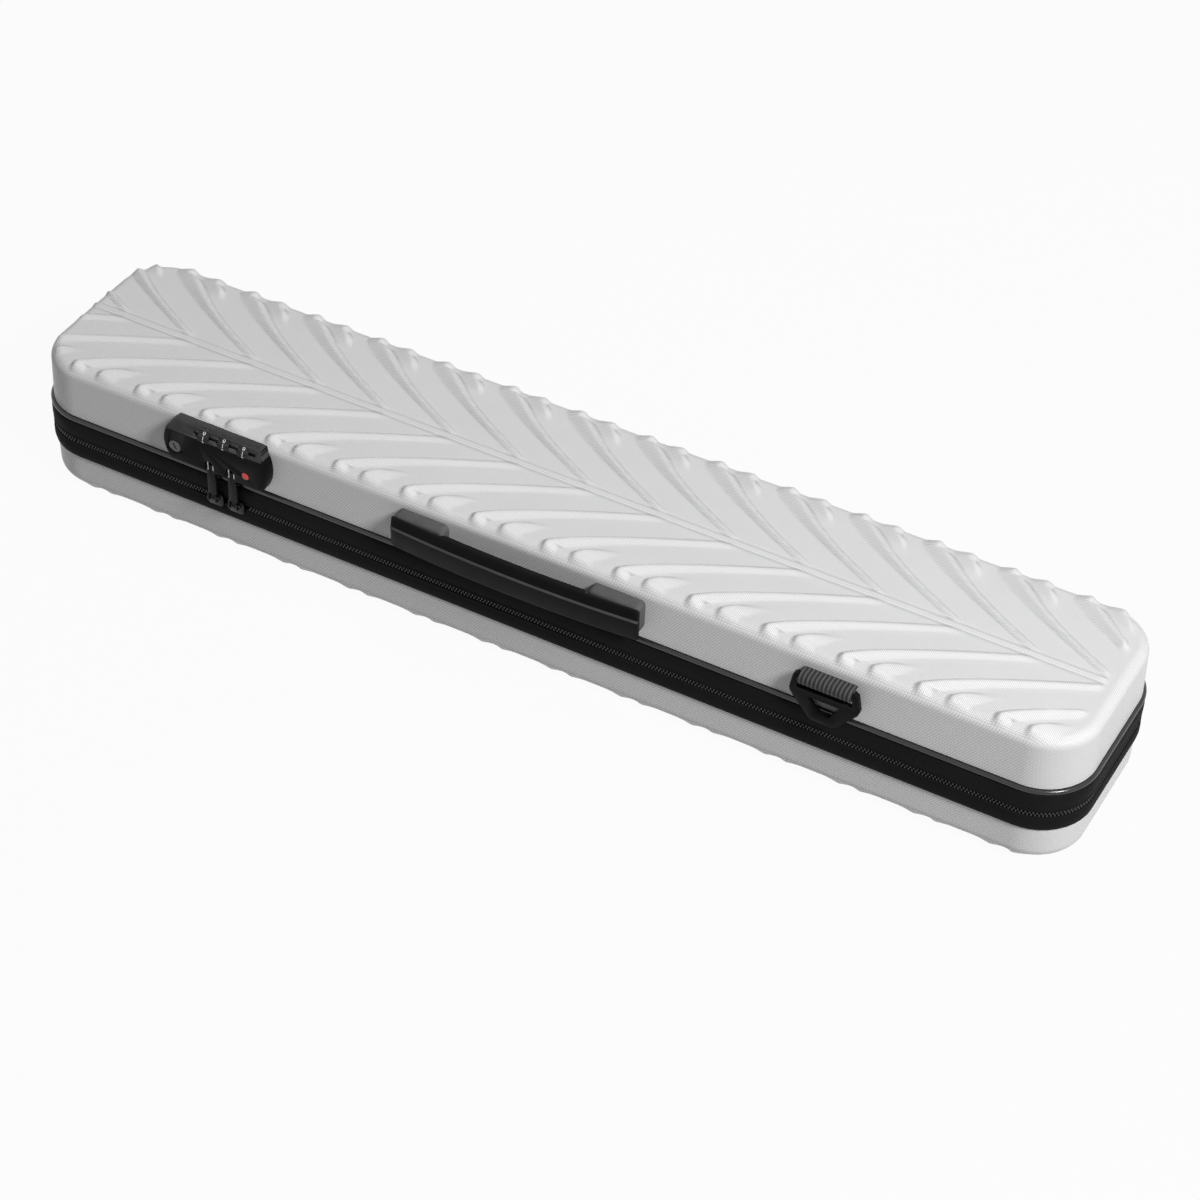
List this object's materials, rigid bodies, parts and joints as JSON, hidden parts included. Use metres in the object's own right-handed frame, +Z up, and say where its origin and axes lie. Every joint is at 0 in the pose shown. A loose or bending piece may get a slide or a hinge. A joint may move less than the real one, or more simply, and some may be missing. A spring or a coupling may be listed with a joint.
{
  "type": "pool cue case",
  "caption": "Long hard case for cues with ribbed silver shells, a zipped soft band, a combination lock, a pull-out grip and a strap ring; the lid opens on a cloth hinge.",
  "frame": {"origin": "middle of the shells' plan, in the plane that the case rests on", "axes": "+Z up, +X along the case from the lock end to the strap ring end, -Y out of the front with the lock and grip"},
  "size_m": [0.841, 0.1736, 0.117],
  "materials": {
    "silver_shell": "satin silver, fine woven grain",
    "band_cloth": "black woven cloth",
    "piping": "glossy black bead",
    "zip_coil": "black coil",
    "foam": "black flocked foam",
    "webbing": "black ribbed webbing",
    "lock_black": "black, satin",
    "lock_dark_metal": "darkened",
    "dial_ivory": "pale number wheels",
    "red_dot": "plain red",
    "steel": "plain",
    "slider_metal": "dark plated",
    "pull_metal": "black, bright tip",
    "mount_grey": "grey, soft"
  },
  "bodies": {
    "base": {"lower_shell": "silver_shell", "lower_band": "band_cloth", "hinge_leaf_lower": "band_cloth", "lower_foam": "foam", "holding_straps": "webbing", "zip_slider_left": "slider_metal", "zip_slider_right": "slider_metal", "pull_pins": "steel"},
    "lid": {"upper_shell": "silver_shell", "upper_band": "band_cloth", "upper_piping": "piping", "hinge_leaf_upper": "band_cloth", "upper_foam": "foam", "lock_body": "lock_black", "dial_axle": "steel", "lock_dot": "red_dot", "lock_plate": "steel", "grip_mount_left": "mount_grey", "grip_mount_right": "mount_grey", "grip_guide_plates": "steel", "strap_webbing": "webbing", "strap_anchor_plate": "steel"},
    "dial_1": {"lock_dial_1": "dial_ivory"},
    "dial_2": {"lock_dial_2": "dial_ivory"},
    "dial_3": {"lock_dial_3": "dial_ivory"},
    "key": {"key_cylinder": "lock_dark_metal"},
    "pull_left": {"zip_pull_left": "pull_metal"},
    "pull_right": {"zip_pull_right": "pull_metal"},
    "grip": {"grip": "lock_black", "grip_stop_clips": "steel"},
    "ring": {"strap_ring": "lock_black"}
  },
  "joints": [
    {"name": "lid_hinge", "type": "hinge", "parent": "base", "child": "lid", "pos_m": [0, 0.08015, 0.049], "axis": [-1, 0, 0], "range_deg": [0, 140]},
    {"name": "pull_left_swing", "type": "hinge", "parent": "base", "child": "pull_left", "pos_m": [-0.2534, -0.0834, 0.0518], "axis": [1, 0, 0], "range_deg": [0, 165]},
    {"name": "pull_right_swing", "type": "hinge", "parent": "base", "child": "pull_right", "pos_m": [-0.2353, -0.0834, 0.0518], "axis": [1, 0, 0], "range_deg": [0, 165]},
    {"name": "grip_pull", "type": "slide", "parent": "lid", "child": "grip", "axis": [0, -1, 0], "range_m": [0, 0.012], "stiffness_N_per_m": 100},
    {"name": "ring_swing", "type": "hinge", "parent": "lid", "child": "ring", "pos_m": [0.2395, -0.083, 0.097], "axis": [-1, 0, 0], "range_deg": [0, 160]},
    {"name": "key_turn", "type": "hinge", "parent": "lid", "child": "key", "pos_m": [-0.2826, -0.082, 0.0893], "axis": [0, -1, 0], "range_deg": [0, 90]},
    {"name": "dial_1_turn", "type": "hinge", "parent": "lid", "child": "dial_1", "pos_m": [-0.2573, -0.0802, 0.104], "axis": [1, 0, 0], "continuous": true},
    {"name": "dial_2_turn", "type": "hinge", "parent": "lid", "child": "dial_2", "pos_m": [-0.2403, -0.0802, 0.104], "axis": [1, 0, 0], "continuous": true},
    {"name": "dial_3_turn", "type": "hinge", "parent": "lid", "child": "dial_3", "pos_m": [-0.2233, -0.0802, 0.104], "axis": [1, 0, 0], "continuous": true}
  ]
}
